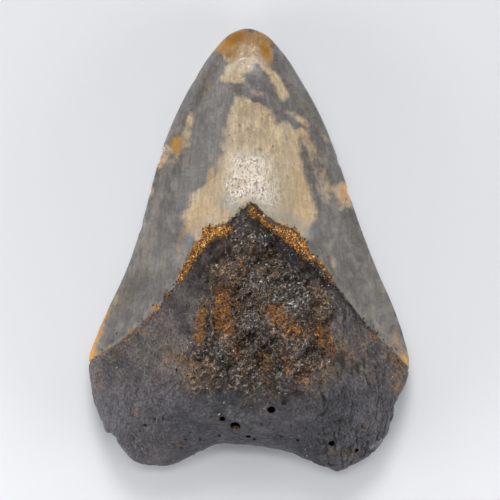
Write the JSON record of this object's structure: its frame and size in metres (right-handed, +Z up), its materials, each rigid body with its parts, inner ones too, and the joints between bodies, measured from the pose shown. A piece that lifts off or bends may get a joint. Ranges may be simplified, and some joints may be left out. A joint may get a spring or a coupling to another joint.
{
  "type": "fossil megalodon tooth",
  "caption": "Fossil megalodon tooth lying on its flatter face: broad triangular enamel crown with a thin worn edge and a rounded tip, on a thick dark root with two lobes.",
  "frame": {"origin": "on the surface the tooth lies on, under the middle of its bounding box", "axes": "+Y from the root to the tip of the crown, +X to the right seen from above the domed face, +Z up out of the domed face"},
  "size_m": [0.08, 0.1106, 0.024],
  "materials": {
    "fossil_tooth": "glossy worn enamel in grey and tan, over a dark grey-brown granular root with rust-orange stains"
  },
  "bodies": {
    "root": {"tooth": "fossil_tooth"}
  },
  "joints": []
}
